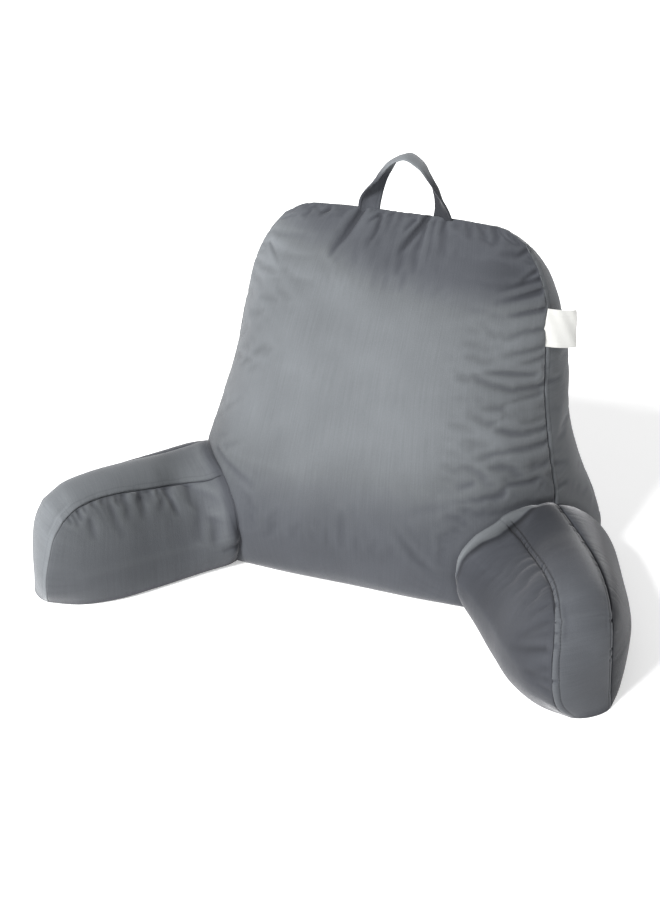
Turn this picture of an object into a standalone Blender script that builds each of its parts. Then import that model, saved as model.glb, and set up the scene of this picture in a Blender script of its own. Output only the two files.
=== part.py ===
"""Reading pillow with arms: a boxed, wedge-shaped back cushion, two splayed arms, a carry handle and a label.

Blender 4.5, metres, +Z up. The pillow stands on the XY plane and faces -Y, with the middle of its footprint
on the origin. Each cushion is one filled solid: two crowned panels, sewn to the edges of a strip that runs
right round them.
"""

import math
from collections import namedtuple

import bmesh
import bpy
import numpy as np
from mathutils import Matrix, Vector
from mathutils.bvhtree import BVHTree

# ----------------------------------------------------------------------------------------------------
# Driving dimensions
# ----------------------------------------------------------------------------------------------------
SEWN_GAP = 0.0004  # between two pieces that are sewn together

SEAM_DIP = 0.0030  # how far a seam is drawn in below the cloth beside it
DIP_FADE = 0.020  # below this height the seams are drawn in less and less, down to the floor

TOP_SEAM_HEIGHT = 0.460  # floor to the front panel's top seam
SEAM_HALF_WIDTH = 0.250  # half the front panel's width, where the arms' tops meet it
BACK_DEPTH = 0.130  # from the origin back to the rear seam, which stands upright against a wall

TOP_LEAN = 0.0015  # the filled back leans this far to -X by its top

ARM_SPLAY = math.radians(28.4)  # each arm points outwards from straight ahead
ARM_CENTRE = 0.192  # from the origin to the line down the middle of an arm, square to that line
ARM_HEIGHT = 0.132  # floor to the highest place on the seams of an arm's top band

HANDLE_FOOT_X = 0.052  # from the middle to the middle of each end of the handle
HANDLE_RISE = 0.074  # from the top seam to the middle of the handle's highest place
HANDLE_WIDTH = 0.030
HANDLE_THICKNESS = 0.0034

LABEL_WIDTH = 0.046
LABEL_HEIGHT = 0.049
LABEL_THICKNESS = 0.0010
LABEL_PLACE = (0.205, 0.047, 0.343)  # the middle of its sewn edge, just inside the side seam
LABEL_LEAN = (-0.10, 0.27, 0.96)  # the line of its sewn edge
LABEL_HEADING = 18.0  # degrees from straight out to the side, at the seam
LABEL_CURL = 40.0  # degrees that it turns towards the back by its free edge
LABEL_DROOP = 0.16  # how far it falls for each unit outwards

# ----------------------------------------------------------------------------------------------------
# Tables. A seam point is a place on a panel's edge; X is across (or along an arm), Z is the height.
# ----------------------------------------------------------------------------------------------------
Seam = namedtuple("Seam", "x y z")
Fold = namedtuple("Fold", "from_x from_z to_x to_z width depth")
Crown = namedtuple("Crown", "share height")

FRONT_SIDE = (
    Seam(0.228, -0.090, 0.000),
    Seam(0.254, -0.062, 0.030),
    Seam(0.260, -0.040, 0.075),
    Seam(SEAM_HALF_WIDTH, -0.014, 0.127),
    Seam(0.231, 0.007, 0.200),
    Seam(0.218, 0.024, 0.260),
    Seam(0.211, 0.043, 0.325),
    Seam(0.203, 0.059, 0.380),
    Seam(0.187, 0.069, 0.416),
    Seam(0.168, 0.077, 0.441),
)
FRONT_TOP_HALF = (
    FRONT_SIDE[-1],
    Seam(0.143, 0.082, 0.4545),
    Seam(0.100, 0.085, 0.4590),
    Seam(0.050, 0.086, TOP_SEAM_HEIGHT),
    Seam(0.000, 0.086, TOP_SEAM_HEIGHT),
)
FRONT_BOTTOM_HALF = (
    Seam(0.000, -0.108, 0.000),
    Seam(0.120, -0.108, 0.000),
    Seam(0.190, -0.103, 0.000),
    FRONT_SIDE[0],
)
FRONT_CROWN = (
    Crown(0.00, 0.085),
    Crown(0.15, 0.108),
    Crown(0.35, 0.114),
    Crown(0.60, 0.098),
    Crown(0.80, 0.070),
    Crown(0.92, 0.036),
    Crown(1.00, 0.020),
)

REAR_SIDE = (
    Seam(0.276, BACK_DEPTH - 0.004, 0.000),
    Seam(0.281, BACK_DEPTH, 0.025),
    Seam(0.270, BACK_DEPTH, 0.070),
    Seam(0.243, BACK_DEPTH, 0.130),
    Seam(0.222, BACK_DEPTH, 0.200),
    Seam(0.219, BACK_DEPTH, 0.260),
    Seam(0.211, BACK_DEPTH, 0.315),
    Seam(0.198, BACK_DEPTH, 0.362),
    Seam(0.182, BACK_DEPTH, 0.394),
    Seam(0.166, BACK_DEPTH, 0.411),
)
REAR_TOP_HALF = (
    REAR_SIDE[-1],
    Seam(0.146, BACK_DEPTH, 0.4195),
    Seam(0.100, BACK_DEPTH, 0.4220),
    Seam(0.050, BACK_DEPTH, 0.4220),
    Seam(0.000, BACK_DEPTH, 0.4220),
)
REAR_BOTTOM_HALF = (
    Seam(0.000, BACK_DEPTH, 0.000),
    Seam(0.120, BACK_DEPTH, 0.000),
    Seam(0.190, BACK_DEPTH, 0.000),
    REAR_SIDE[0],
)
REAR_CROWN = (
    Crown(0.00, 0.030),
    Crown(0.30, 0.036),
    Crown(0.70, 0.032),
    Crown(1.00, 0.022),
)

SIDE_BAND_CROWN = (
    Crown(0.000, 0.008),
    Crown(0.130, 0.010),
    Crown(0.300, 0.012),
    Crown(0.400, 0.010),
    Crown(0.440, 0.006),
)

# An arm's own frame: X runs forwards along it and Y outwards from the seat. Its root lies inside the back.
INNER_TOP = (
    Seam(0.160, -0.086, 0.134),
    Seam(0.175, -0.062, 0.130),
    Seam(0.190, -0.043, 0.113),
    Seam(0.218, -0.036, 0.109),
    Seam(0.269, -0.034, 0.118),
    Seam(0.331, -0.036, 0.131),
    Seam(0.361, -0.038, 0.134),
    Seam(0.390, -0.042, ARM_HEIGHT),
    Seam(0.413, -0.047, 0.124),
)
INNER_FRONT = (
    Seam(0.430, -0.024, 0.000),
    Seam(0.445, -0.046, 0.026),
    Seam(0.449, -0.054, 0.056),
    Seam(0.442, -0.054, 0.084),
    Seam(0.431, -0.051, 0.108),
    INNER_TOP[-1],
)
INNER_BOTTOM = (
    Seam(0.164, -0.104, 0.000),
    Seam(0.220, -0.094, 0.000),
    Seam(0.300, -0.085, 0.000),
    Seam(0.362, -0.074, 0.000),
    Seam(0.403, -0.054, 0.000),
    INNER_FRONT[0],
)
INNER_REAR = (
    INNER_BOTTOM[0],
    Seam(0.168, -0.122, 0.032),
    Seam(0.170, -0.128, 0.064),
    Seam(0.168, -0.124, 0.094),
    Seam(0.165, -0.114, 0.117),
    INNER_TOP[0],
)
OUTER_TOP = (
    Seam(0.108, 0.021, 0.118),
    Seam(0.134, 0.024, 0.122),
    Seam(0.190, 0.032, 0.122),
    Seam(0.263, 0.035, 0.127),
    Seam(0.330, 0.033, 0.131),
    Seam(0.368, 0.030, 0.130),
    Seam(0.395, 0.028, 0.120),
)
OUTER_FRONT = (
    Seam(0.414, 0.030, 0.000),
    Seam(0.411, 0.029, 0.026),
    Seam(0.411, 0.028, 0.056),
    Seam(0.412, 0.027, 0.082),
    Seam(0.408, 0.027, 0.104),
    OUTER_TOP[-1],
)
OUTER_BOTTOM = (
    Seam(0.032, 0.092, 0.000),
    Seam(0.120, 0.086, 0.000),
    Seam(0.200, 0.078, 0.000),
    Seam(0.280, 0.070, 0.000),
    Seam(0.350, 0.057, 0.000),
    Seam(0.390, 0.043, 0.000),
    OUTER_FRONT[0],
)
OUTER_REAR = (
    OUTER_BOTTOM[0],
    Seam(0.032, 0.092, 0.030),
    Seam(0.052, 0.075, 0.062),
    Seam(0.082, 0.049, 0.093),
    OUTER_TOP[0],
)
INNER_CROWN = (
    Crown(0.00, 0.020),
    Crown(0.40, 0.027),
    Crown(1.00, 0.018),
)
OUTER_CROWN = (
    Crown(0.00, 0.016),
    Crown(0.40, 0.025),
    Crown(1.00, 0.018),
)
TOP_BAND_CROWN = (
    Crown(0.000, 0.010),
    Crown(0.105, 0.010),
    Crown(0.125, 0.016),
)

# The handle's line, from the top seam up to the middle: X, and the height over the seam.
HANDLE_HALF = (
    (HANDLE_FOOT_X, -0.010),
    (HANDLE_FOOT_X - 0.002, 0.010),
    (0.043, 0.030),
    (0.032, 0.050),
    (0.018, 0.067),
    (0.000, HANDLE_RISE),
)

# Across the lip at an arm's root: how far from the back, and how high.
LIP = (Crown(0.009, 0.0025), Crown(0.030, -0.0030))
LIP_WIDTH = 0.010
LIP_SIDE = 0.020  # how far outwards of the arm's middle line the lip has faded out
LIP_FADE = 0.040  # over this distance

# Folds, each deepest where it starts at a seam and gone by its end. On the front panel: X and Z.
FRONT_FOLDS = (
    Fold(-0.065, 0.458, -0.099, 0.405, width=0.009, depth=0.0045),
    Fold(-0.046, 0.458, -0.065, 0.404, width=0.008, depth=0.0035),
    Fold(-0.028, 0.458, -0.047, 0.402, width=0.008, depth=0.0035),
    Fold(0.004, 0.458, -0.002, 0.418, width=0.008, depth=0.0030),
    Fold(0.023, 0.458, 0.004, 0.410, width=0.009, depth=0.0045),
    Fold(0.050, 0.458, 0.047, 0.412, width=0.009, depth=0.0035),
    Fold(0.092, 0.456, 0.096, 0.428, width=0.010, depth=0.0025),
    Fold(-0.104, 0.456, -0.117, 0.438, width=0.009, depth=0.0030),
    Fold(-0.130, 0.452, -0.139, 0.426, width=0.009, depth=0.0030),
    Fold(-0.158, 0.438, -0.156, 0.404, width=0.010, depth=0.0030),
    Fold(-0.190, 0.412, -0.168, 0.396, width=0.009, depth=0.0030),
    Fold(-0.206, 0.376, -0.176, 0.374, width=0.009, depth=0.0030),
    Fold(-0.211, 0.350, -0.182, 0.354, width=0.009, depth=0.0025),
    Fold(0.176, 0.434, 0.150, 0.427, width=0.009, depth=0.0030),
    Fold(0.199, 0.390, 0.136, 0.385, width=0.009, depth=0.0045),
    Fold(0.205, 0.370, 0.160, 0.366, width=0.008, depth=0.0045),
    Fold(0.210, 0.316, 0.168, 0.326, width=0.008, depth=0.0035),
    Fold(0.212, 0.297, 0.134, 0.309, width=0.009, depth=0.0040),
    Fold(0.218, 0.263, 0.135, 0.290, width=0.009, depth=0.0045),
    Fold(0.224, 0.230, 0.154, 0.245, width=0.009, depth=0.0040),
    Fold(0.230, 0.205, 0.152, 0.206, width=0.010, depth=0.0050),
    Fold(0.236, 0.180, 0.138, 0.172, width=0.010, depth=0.0035),
    Fold(0.242, 0.152, 0.140, 0.157, width=0.011, depth=0.0035),
    Fold(0.150, 0.123, 0.120, 0.116, width=0.011, depth=0.0030),
    Fold(0.110, 0.267, 0.035, 0.250, width=0.016, depth=0.0020),
    Fold(0.118, 0.150, 0.058, 0.124, width=0.016, depth=0.0020),
    Fold(-0.215, 0.160, -0.132, 0.130, width=0.010, depth=0.0040),
)
# On the inner panel of the arm at -X: how far along it, and Z. The gathers hang from the top band's seam.
LEFT_ARM_FOLDS = (
    Fold(0.412, 0.126, 0.408, 0.104, width=0.006, depth=0.0030),
    Fold(0.396, 0.132, 0.389, 0.112, width=0.006, depth=0.0030),
    Fold(0.380, 0.134, 0.376, 0.116, width=0.006, depth=0.0025),
    Fold(0.356, 0.134, 0.362, 0.108, width=0.006, depth=0.0030),
    Fold(0.333, 0.131, 0.342, 0.110, width=0.006, depth=0.0025),
    Fold(0.306, 0.127, 0.329, 0.094, width=0.007, depth=0.0035),
    Fold(0.277, 0.121, 0.286, 0.096, width=0.006, depth=0.0025),
    Fold(0.254, 0.116, 0.265, 0.088, width=0.007, depth=0.0030),
    Fold(0.231, 0.112, 0.254, 0.066, width=0.008, depth=0.0040),
    Fold(0.205, 0.109, 0.232, 0.056, width=0.009, depth=0.0050),
)
# The same on the arm at +X.
RIGHT_ARM_FOLDS = (
    Fold(0.412, 0.124, 0.352, 0.062, width=0.008, depth=0.0040),
    Fold(0.432, 0.104, 0.376, 0.066, width=0.008, depth=0.0045),
    Fold(0.444, 0.078, 0.400, 0.050, width=0.007, depth=0.0040),
    Fold(0.447, 0.062, 0.416, 0.044, width=0.006, depth=0.0030),
    Fold(0.364, 0.134, 0.374, 0.092, width=0.009, depth=0.0030),
    Fold(0.304, 0.126, 0.338, 0.094, width=0.008, depth=0.0035),
    Fold(0.262, 0.117, 0.296, 0.092, width=0.008, depth=0.0035),
    Fold(0.218, 0.110, 0.262, 0.074, width=0.008, depth=0.0045),
    Fold(0.201, 0.112, 0.230, 0.058, width=0.008, depth=0.0040),
)

# ----------------------------------------------------------------------------------------------------
# Mesh sizes
# ----------------------------------------------------------------------------------------------------
Cells = namedtuple("Cells", "across up deep")
BACK_CELLS = Cells(across=36, up=30, deep=5)
ARM_CELLS = Cells(across=30, up=12, deep=6)
HANDLE_CELLS = Cells(across=4, up=40, deep=1)
LABEL_CELLS = Cells(across=6, up=6, deep=1)


def smooth_curve(points, shares):
    """The places at these shares of the way along a smooth curve that passes through the points."""
    points = np.array([tuple(p) for p in points], float)
    along = np.r_[0, np.cumsum(np.linalg.norm(np.diff(points, axis=0), axis=1))]
    along /= along[-1]
    slopes = np.gradient(points, along, axis=0)
    i = np.clip(np.searchsorted(along, shares, side="right") - 1, 0, len(along) - 2)
    span = along[i + 1] - along[i]
    t = ((shares - along[i]) / span)[:, None]
    span = span[:, None]
    return (
        (2 * t**3 - 3 * t**2 + 1) * points[i]
        + (t**3 - 2 * t**2 + t) * span * slopes[i]
        + (3 * t**2 - 2 * t**3) * points[i + 1]
        + (t**3 - t**2) * span * slopes[i + 1]
    )


def whole_width(half, from_middle):
    """A curve from the left edge to the right one, from its right half."""
    out = list(half) if from_middle else list(reversed(half))
    left = [Seam(-p.x, p.y, p.z) for p in reversed(out)]
    return left + out[1:]


def closer_at_ends(count, bunching=0.5):
    """Shares from 0 to 1 that lie closer together near both ends, where a panel turns into its seam."""
    even = np.linspace(0, 1, count + 1)
    return (1 - bunching) * even + bunching * (0.5 - 0.5 * np.cos(math.pi * even))


def swell(shares, flatness, steepness):
    """0 at both ends and 1 in the middle: how far a filled panel has risen off its seams."""
    return (1 - np.abs(2 * shares - 1) ** flatness) ** steepness


def panel_grid(bottom, top, side_a, side_b, crown, out, cells, fade=1, fuller=0):
    """Points of a crowned panel, [up][across], inside four edge curves.

    The side curves run upwards, the others from side a to side b. The larger the fade, the sooner the shape of
    a side curve is lost away from that side. Near side a the panel rises higher by the share called fuller.
    """
    u = closer_at_ends(cells.across)
    v = closer_at_ends(cells.up)
    low, high = smooth_curve(bottom, u)[None], smooth_curve(top, u)[None]
    a, b = smooth_curve(side_a, v)[:, None], smooth_curve(side_b, v)[:, None]
    s, t = u[None, :, None], v[:, None, None]
    flat = (1 - t) * low + t * high
    flat = flat + (1 - s) ** fade * (a - (1 - t) * a[:1] - t * a[-1:])
    flat = flat + s**fade * (b - (1 - t) * b[:1] - t * b[-1:])
    height = np.interp(v, [c.share for c in crown], [c.height for c in crown])
    rise = height[:, None] * swell(v, 2.6, 0.62)[:, None] * swell(u, 3.2, 0.8)[None]
    rise = rise * (1 + fuller * (1 - u) ** 2)
    return flat + rise[:, :, None] * np.array(out, float)


def folded(grid, folds, out):
    """The grid with each fold pressed into it and a low ridge along both sides of the fold."""
    normals = np.cross(np.gradient(grid, axis=1), np.gradient(grid, axis=0))
    normals /= np.linalg.norm(normals, axis=2)[:, :, None]
    normals *= np.sign(normals @ np.array(out, float))[:, :, None]
    flat = grid[:, :, [0, 2]]
    press = np.zeros(grid.shape[:2])
    for fold in folds:
        start, end = np.array((fold.from_x, fold.from_z)), np.array((fold.to_x, fold.to_z))
        run = end - start
        share = np.clip((flat - start) @ run / (run @ run), 0, 1)
        away = np.linalg.norm(flat - start - share[:, :, None] * run, axis=2) / fold.width
        press += fold.depth * (1 - share**2) * (1 - 0.9 * away**2) * np.exp(-(away**2))
    press[[0, -1]] = 0
    press[:, [0, -1]] = 0
    return grid - normals * press[:, :, None]


def rim(grid):
    """The grid's outer items, once round: along the bottom, up side b, back along the top and down side a."""
    rows = [list(row) for row in grid]
    return rows[0][:-1] + [row[-1] for row in rows[:-1]] + rows[-1][:0:-1] + [row[0] for row in rows[:0:-1]]


def fill_grid(mesh, grid):
    """Faces between the grid's vertices, [up][across]."""
    for lower, upper in zip(grid, grid[1:]):
        for i in range(len(lower) - 1):
            mesh.faces.new((lower[i], lower[i + 1], upper[i + 1], upper[i]))


def join_loops(mesh, first, second):
    """Faces between two closed loops of vertices."""
    for i in range(len(first)):
        k = (i + 1) % len(first)
        mesh.faces.new((first[i], first[k], second[k], second[i]))


def strip_rows(near, far, crown, cells):
    """Rows of points of the strip between two edge loops, swollen outwards, but never down into the floor."""
    middle = (near.mean(0) + far.mean(0)) / 2
    tangent = np.roll(near, -1, 0) - np.roll(near, 1, 0) + np.roll(far, -1, 0) - np.roll(far, 1, 0)
    outward = np.cross(far - near, tangent)
    outward /= np.linalg.norm(outward, axis=1)[:, None]
    inward = ((near + far) / 2 - middle) * outward
    outward[inward.sum(1) < 0] *= -1
    outward[:, 2] = np.maximum(outward[:, 2], 0)
    bulge = np.interp((near[:, 2] + far[:, 2]) / 2, [c.share for c in crown], [c.height for c in crown])
    rows = []
    for share in np.linspace(0, 1, cells.deep + 1)[1:-1]:
        rise = bulge * swell(np.array([share]), 2.2, 0.8)[0]
        rows.append(near + (far - near) * share + outward * rise[:, None])
    return rows


def cushion(name, near, far, crown, cells, material):
    """One closed cushion from its near panel, its far panel and the strip between them."""
    mesh = bmesh.new()
    make = lambda points: [mesh.verts.new(p) for p in points]
    grids = [[make(row) for row in grid] for grid in (near, far)]
    rows = [rim(grids[0])]
    rows += [make(row) for row in strip_rows(np.array(rim(near)), np.array(rim(far)), crown, cells)]
    rows.append(rim(grids[1]))
    for grid in grids:
        fill_grid(mesh, grid)
    for first, second in zip(rows, rows[1:]):
        join_loops(mesh, first, second)
    bmesh.ops.recalc_face_normals(mesh, faces=mesh.faces)
    mesh.normal_update()
    for vertex in rows[0] + rows[-1]:
        vertex.co -= vertex.normal * SEAM_DIP * min(vertex.co.z / DIP_FADE, 1)
    for vertex in mesh.verts:
        vertex.co.z = max(vertex.co.z, 0.0)
    return add_object(name, mesh, material)


def add_object(name, mesh, material):
    data = bpy.data.meshes.new(name)
    bmesh.ops.triangulate(mesh, faces=mesh.faces)
    mesh.normal_update()
    mesh.to_mesh(data)
    mesh.free()
    data.shade_smooth()
    data.materials.append(material)
    made = bpy.data.objects.new(name, data)
    bpy.context.scene.collection.objects.link(made)
    return made


def finish(name, colour, roughness):
    made = bpy.data.materials.new(name)
    made.use_nodes = True
    shader = made.node_tree.nodes["Principled BSDF"]
    shader.inputs["Base Color"].default_value = (*colour, 1.0)
    shader.inputs["Roughness"].default_value = roughness
    shader.inputs["Metallic"].default_value = 0.0
    return made


def clear_scene():
    for old in list(bpy.data.objects):
        bpy.data.objects.remove(old, do_unlink=True)


def make_back(velvet):
    left = lambda side: [Seam(-p.x, p.y, p.z) for p in side]
    front = panel_grid(
        whole_width(FRONT_BOTTOM_HALF, from_middle=True),
        whole_width(FRONT_TOP_HALF, from_middle=False),
        left(FRONT_SIDE),
        FRONT_SIDE,
        FRONT_CROWN,
        (0, -1, 0.16),
        BACK_CELLS,
    )
    rear = panel_grid(
        whole_width(REAR_BOTTOM_HALF, from_middle=True),
        whole_width(REAR_TOP_HALF, from_middle=False),
        left(REAR_SIDE),
        REAR_SIDE,
        REAR_CROWN,
        (0, 1, 0.02),
        BACK_CELLS,
    )
    front = folded(front, FRONT_FOLDS, (0, -1, 0.2))
    for panel in (front, rear):
        panel[:, :, 0] -= TOP_LEAN * np.clip(panel[:, :, 2] / TOP_SEAM_HEIGHT, 0, 1)
    return cushion("back_cushion", front, rear, SIDE_BAND_CROWN, BACK_CELLS, velvet)


def make_arm(name, side, back, velvet):
    """An arm cushion in its own frame, turned and placed. side is 1 for the arm at +X and -1 for the other."""
    mirrored = lambda points: [Seam(p.x, side * p.y, p.z) for p in points]

    def panel(bottom, top, rear, front, crown, out, fuller=0):
        edges = [mirrored(edge) for edge in (bottom, top, rear, front)]
        return panel_grid(*edges, crown, (0, side * out, 0.3), ARM_CELLS, fade=3, fuller=fuller)

    inner = panel(INNER_BOTTOM, INNER_TOP, INNER_REAR, INNER_FRONT, INNER_CROWN, -1)
    inner = folded(inner, RIGHT_ARM_FOLDS if side > 0 else LEFT_ARM_FOLDS, (0, -side, 0.2))
    outer = panel(OUTER_BOTTOM, OUTER_TOP, OUTER_REAR, OUTER_FRONT, OUTER_CROWN, 1, fuller=0.6)
    arm = cushion(name, inner, outer, TOP_BAND_CROWN, ARM_CELLS, velvet)
    forwards = Vector((side * math.sin(ARM_SPLAY), -math.cos(ARM_SPLAY), 0))
    outwards = Vector((math.cos(ARM_SPLAY), side * math.sin(ARM_SPLAY), 0))
    place = Matrix((forwards, outwards, (0, 0, 1))).transposed().to_4x4()
    place.translation = outwards * side * ARM_CENTRE
    arm.data.transform(place)
    draw_in(arm, back, outwards * side)
    return arm


def draw_in(arm, back, outwards):
    """Raise a lip along the arm's inner side where it is sewn to the back, with a dip in front of it."""
    corners = [v.co for v in back.data.vertices]
    around = BVHTree.FromPolygons(corners, [p.vertices for p in back.data.polygons])
    normals = [v.normal.copy() for v in arm.data.vertices]
    for vertex, normal in zip(arm.data.vertices, normals):
        distance = around.find_nearest(vertex.co)[3]
        change = sum(c.height * math.exp(-(((distance - c.share) / LIP_WIDTH) ** 2)) for c in LIP)
        inner_side = min(max((ARM_CENTRE + LIP_SIDE - vertex.co.dot(outwards)) / LIP_FADE, 0), 1)
        above_floor = min(vertex.co.z / DIP_FADE, 1)
        vertex.co += normal * change * inner_side * above_floor


def sheet(name, middle, across, thick, width, thickness, cells, material):
    """A closed sheet along a line of middles. across and thick are unit vectors at each middle."""
    mesh = bmesh.new()
    shares = np.linspace(-0.5, 0.5, cells.across + 1)[None, :, None]
    middle, across, thick = middle[:, None], across[:, None], thick[:, None]
    grids = []
    for side in (-0.5, 0.5):
        points = middle + across * width * shares + thick * thickness * side
        grids.append([[mesh.verts.new(p) for p in row] for row in points])
        fill_grid(mesh, grids[-1])
    join_loops(mesh, rim(grids[0]), rim(grids[1]))
    bmesh.ops.recalc_face_normals(mesh, faces=mesh.faces)
    return add_object(name, mesh, material)


def unit(vectors):
    return vectors / np.linalg.norm(vectors, axis=1)[:, None]


def make_handle(velvet):
    """A strap that stands in the top seam on both its ends and turns flat side up at the top of its arch."""
    half = [Seam(x, FRONT_TOP_HALF[-1].y, TOP_SEAM_HEIGHT + z) for x, z in HANDLE_HALF]
    shares = np.linspace(0, 1, HANDLE_CELLS.up + 1)
    middle = smooth_curve(whole_width(half, from_middle=False), shares)
    along = unit(np.gradient(middle, axis=0))
    turn = (math.pi / 2) * np.sin(math.pi * shares) ** 0.9
    flat_to_front = unit(np.cross(along, np.cross((0, -1, 0), along)))
    sideways = np.cross(along, flat_to_front)
    across = unit(sideways * np.cos(turn)[:, None] - flat_to_front * np.sin(turn)[:, None])
    thick = np.cross(along, across)
    return sheet("carry_handle", middle, across, thick, HANDLE_WIDTH, HANDLE_THICKNESS, HANDLE_CELLS, velvet)


def make_label(linen):
    """A folded piece of tape, one edge in the side seam, lying outwards over the side band."""
    steps = np.linspace(0, 1, LABEL_CELLS.up + 1)
    heading = np.radians(LABEL_HEADING + LABEL_CURL * steps)
    run = np.c_[np.cos(heading), np.sin(heading), 0 * steps - LABEL_DROOP] * LABEL_WIDTH / LABEL_CELLS.up
    middle = np.array(LABEL_PLACE) + np.cumsum(run, axis=0) - run[0]
    along = unit(run)
    up = np.tile(np.array([LABEL_LEAN]), (len(steps), 1))
    up = unit(up - along * np.sum(up * along, axis=1)[:, None])
    thick = np.cross(along, up)
    return sheet("side_label", middle, up, thick, LABEL_HEIGHT, LABEL_THICKNESS, LABEL_CELLS, linen)


def sew_onto(back, pieces):
    """Cut from each piece what would lie in the back or within the sewn gap of it."""
    cutter = bpy.data.objects.new("back_allowance", back.data.copy())
    bpy.context.scene.collection.objects.link(cutter)
    faces_at = [[] for _ in cutter.data.vertices]
    for face in cutter.data.polygons:
        for i in face.vertices:
            faces_at[i].append(face.normal.copy())
    moves = []
    for vertex, around in zip(cutter.data.vertices, faces_at):
        squareness = min(vertex.normal.dot(n) for n in around)
        moves.append(vertex.normal * SEWN_GAP / max(squareness, 0.3))
    for vertex, move in zip(cutter.data.vertices, moves):
        vertex.co += move
    cutter.hide_render = True
    cutter.display_type = "WIRE"
    for piece in pieces:
        cut = piece.modifiers.new("sewn_to_back", "BOOLEAN")
        cut.operation = "DIFFERENCE"
        cut.solver = "EXACT"
        cut.object = cutter
    return cutter


def stand_on_origin(pieces, helpers):
    """Put the middle of the footprint on the origin."""
    corners = np.array([tuple(v.co) for piece in pieces for v in piece.data.vertices])
    middle = (corners.min(0) + corners.max(0)) / 2
    for piece in list(pieces) + list(helpers):
        piece.data.transform(Matrix.Translation((-middle[0], -middle[1], 0)))


def main():
    clear_scene()
    velvet = finish("grey_velvet", (0.145, 0.152, 0.165), 0.85)
    linen = finish("white_label_tape", (0.82, 0.82, 0.80), 0.7)
    back = make_back(velvet)
    sewn_on = [
        make_arm("arm_right", 1, back, velvet),
        make_arm("arm_left", -1, back, velvet),
        make_handle(velvet),
        make_label(linen),
    ]
    cutter = sew_onto(back, sewn_on)
    stand_on_origin([back] + sewn_on, [cutter])


main()
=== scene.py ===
"""Reading pillow with arms: velvet cushions with their seams and stitching, a strap and a label.

Metres, +Z up. The pillow stands on the XY plane and faces -Y.
"""

import math
from collections import namedtuple

import bmesh
import bpy
import numpy as np
from mathutils import Matrix, Vector, noise
from mathutils.bvhtree import BVHTree
from mathutils.kdtree import KDTree


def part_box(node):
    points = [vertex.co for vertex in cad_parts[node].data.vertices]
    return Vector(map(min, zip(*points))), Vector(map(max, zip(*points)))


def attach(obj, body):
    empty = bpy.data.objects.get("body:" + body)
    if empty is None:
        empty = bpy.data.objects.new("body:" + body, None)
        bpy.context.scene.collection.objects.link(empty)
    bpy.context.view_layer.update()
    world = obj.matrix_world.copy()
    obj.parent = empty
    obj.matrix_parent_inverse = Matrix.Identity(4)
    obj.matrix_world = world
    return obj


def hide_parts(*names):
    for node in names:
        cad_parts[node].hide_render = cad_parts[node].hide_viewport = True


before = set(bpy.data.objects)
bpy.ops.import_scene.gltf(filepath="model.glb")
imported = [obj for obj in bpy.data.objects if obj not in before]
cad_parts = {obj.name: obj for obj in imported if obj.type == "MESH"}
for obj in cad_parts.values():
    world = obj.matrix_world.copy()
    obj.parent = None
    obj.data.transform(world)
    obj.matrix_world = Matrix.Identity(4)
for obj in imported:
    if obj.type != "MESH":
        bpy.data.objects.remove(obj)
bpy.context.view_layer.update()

MM = 0.001

# ---- Sizes -----------------------------------------------------------------
TOP_SEAM_HEIGHT = 0.460  # floor to the front panel's top seam
SEAM_HALF_WIDTH = 0.250  # half the front panel's width, where the arms' tops meet it
BACK_DEPTH = 0.130  # from the pattern's own origin back to the rear seam
TOP_LEAN = 0.0015  # the filled back leans this far to -X by its top

ARM_SPLAY = math.radians(28.4)  # each arm points outwards from straight ahead
ARM_CENTRE = 0.192  # from the origin to the line down the middle of an arm, square to that line
ARM_HEIGHT = 0.132  # floor to the highest place on the seams of an arm's top band

HANDLE_LINE_Y = 0.086  # the top seam at the middle, where the handle stands
HANDLE_FOOT_X = 0.052
HANDLE_RISE = 0.0755
HANDLE_WIDTH = 0.030
HANDLE_THICKNESS = 0.0034
LEFT_LEG_BEND, RIGHT_LEG_BEND = 36.0, 16.0  # degrees that the strap is doubled over in its legs
STRAP_BEND = 8.0  # degrees that it is everywhere

LABEL_WIDTH = 0.046
LABEL_HEIGHT = 0.049
LABEL_THICKNESS = 0.0010
LABEL_PLACE = (0.205, 0.047, 0.343)  # the middle of its sewn edge
LABEL_LEAN = (-0.10, 0.27, 0.96)  # the line of its sewn edge
LABEL_HEADING = 18.0  # degrees from straight out to the side, at the seam
LABEL_CURL = 40.0  # degrees that it turns towards the back by its free edge
LABEL_DROOP = 0.16  # how far it falls for each unit outwards

PRESSURE = 4.0
FILL_FRAMES = 20
FULLNESS = 0.05  # how much larger the cloth is than its pattern where it is gathered most
SWELL_CAP = 0.012  # the most that the filling moves the cloth

SEAM_DIP = 0.0022  # how far a seam is drawn in below the cloth beside it
SEAM_GROOVE = 0.0012  # the part of that which is a narrow groove
GROOVE_WIDTH, DIP_REACH = 0.0009, 0.005
GATHER = 0.0006  # how far the cloth beside a seam is drawn in between its waves
PUCKER = 0.0016  # how deep the strip puckers between a seam and its topstitching
WELT_PLACE, WELT_WIDTH, WELT_HEIGHT = 0.0042, 0.0026, 0.0004  # a soft roll beside a seam
STITCH_LINE = 0.0078  # from a seam to the row of topstitching beside it
STITCH_STEP, STITCH_WIDTH, STITCH_DENT = 0.0038, 0.0008, 0.0005
DRAWN_LINE = 0.0011  # half the width that a seam or its topstitching is drawn with
SEWN_GAP = 0.0004  # between two cushions that are sewn together
FLOOR_CLEAR = 0.003  # how a point at the floor lies to the back is asked this far above it
ROOT_DENT = 0.0012  # how far the back is drawn in along an arm's root
LET_OUT_REACH = 0.007  # how far from the back an arm's end is let out to its seam there

low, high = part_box("carry_handle")
PATTERN_SHIFT = Vector((0, (low.y + high.y) / 2 - HANDLE_LINE_Y, 0))  # pattern to pillow

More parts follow.
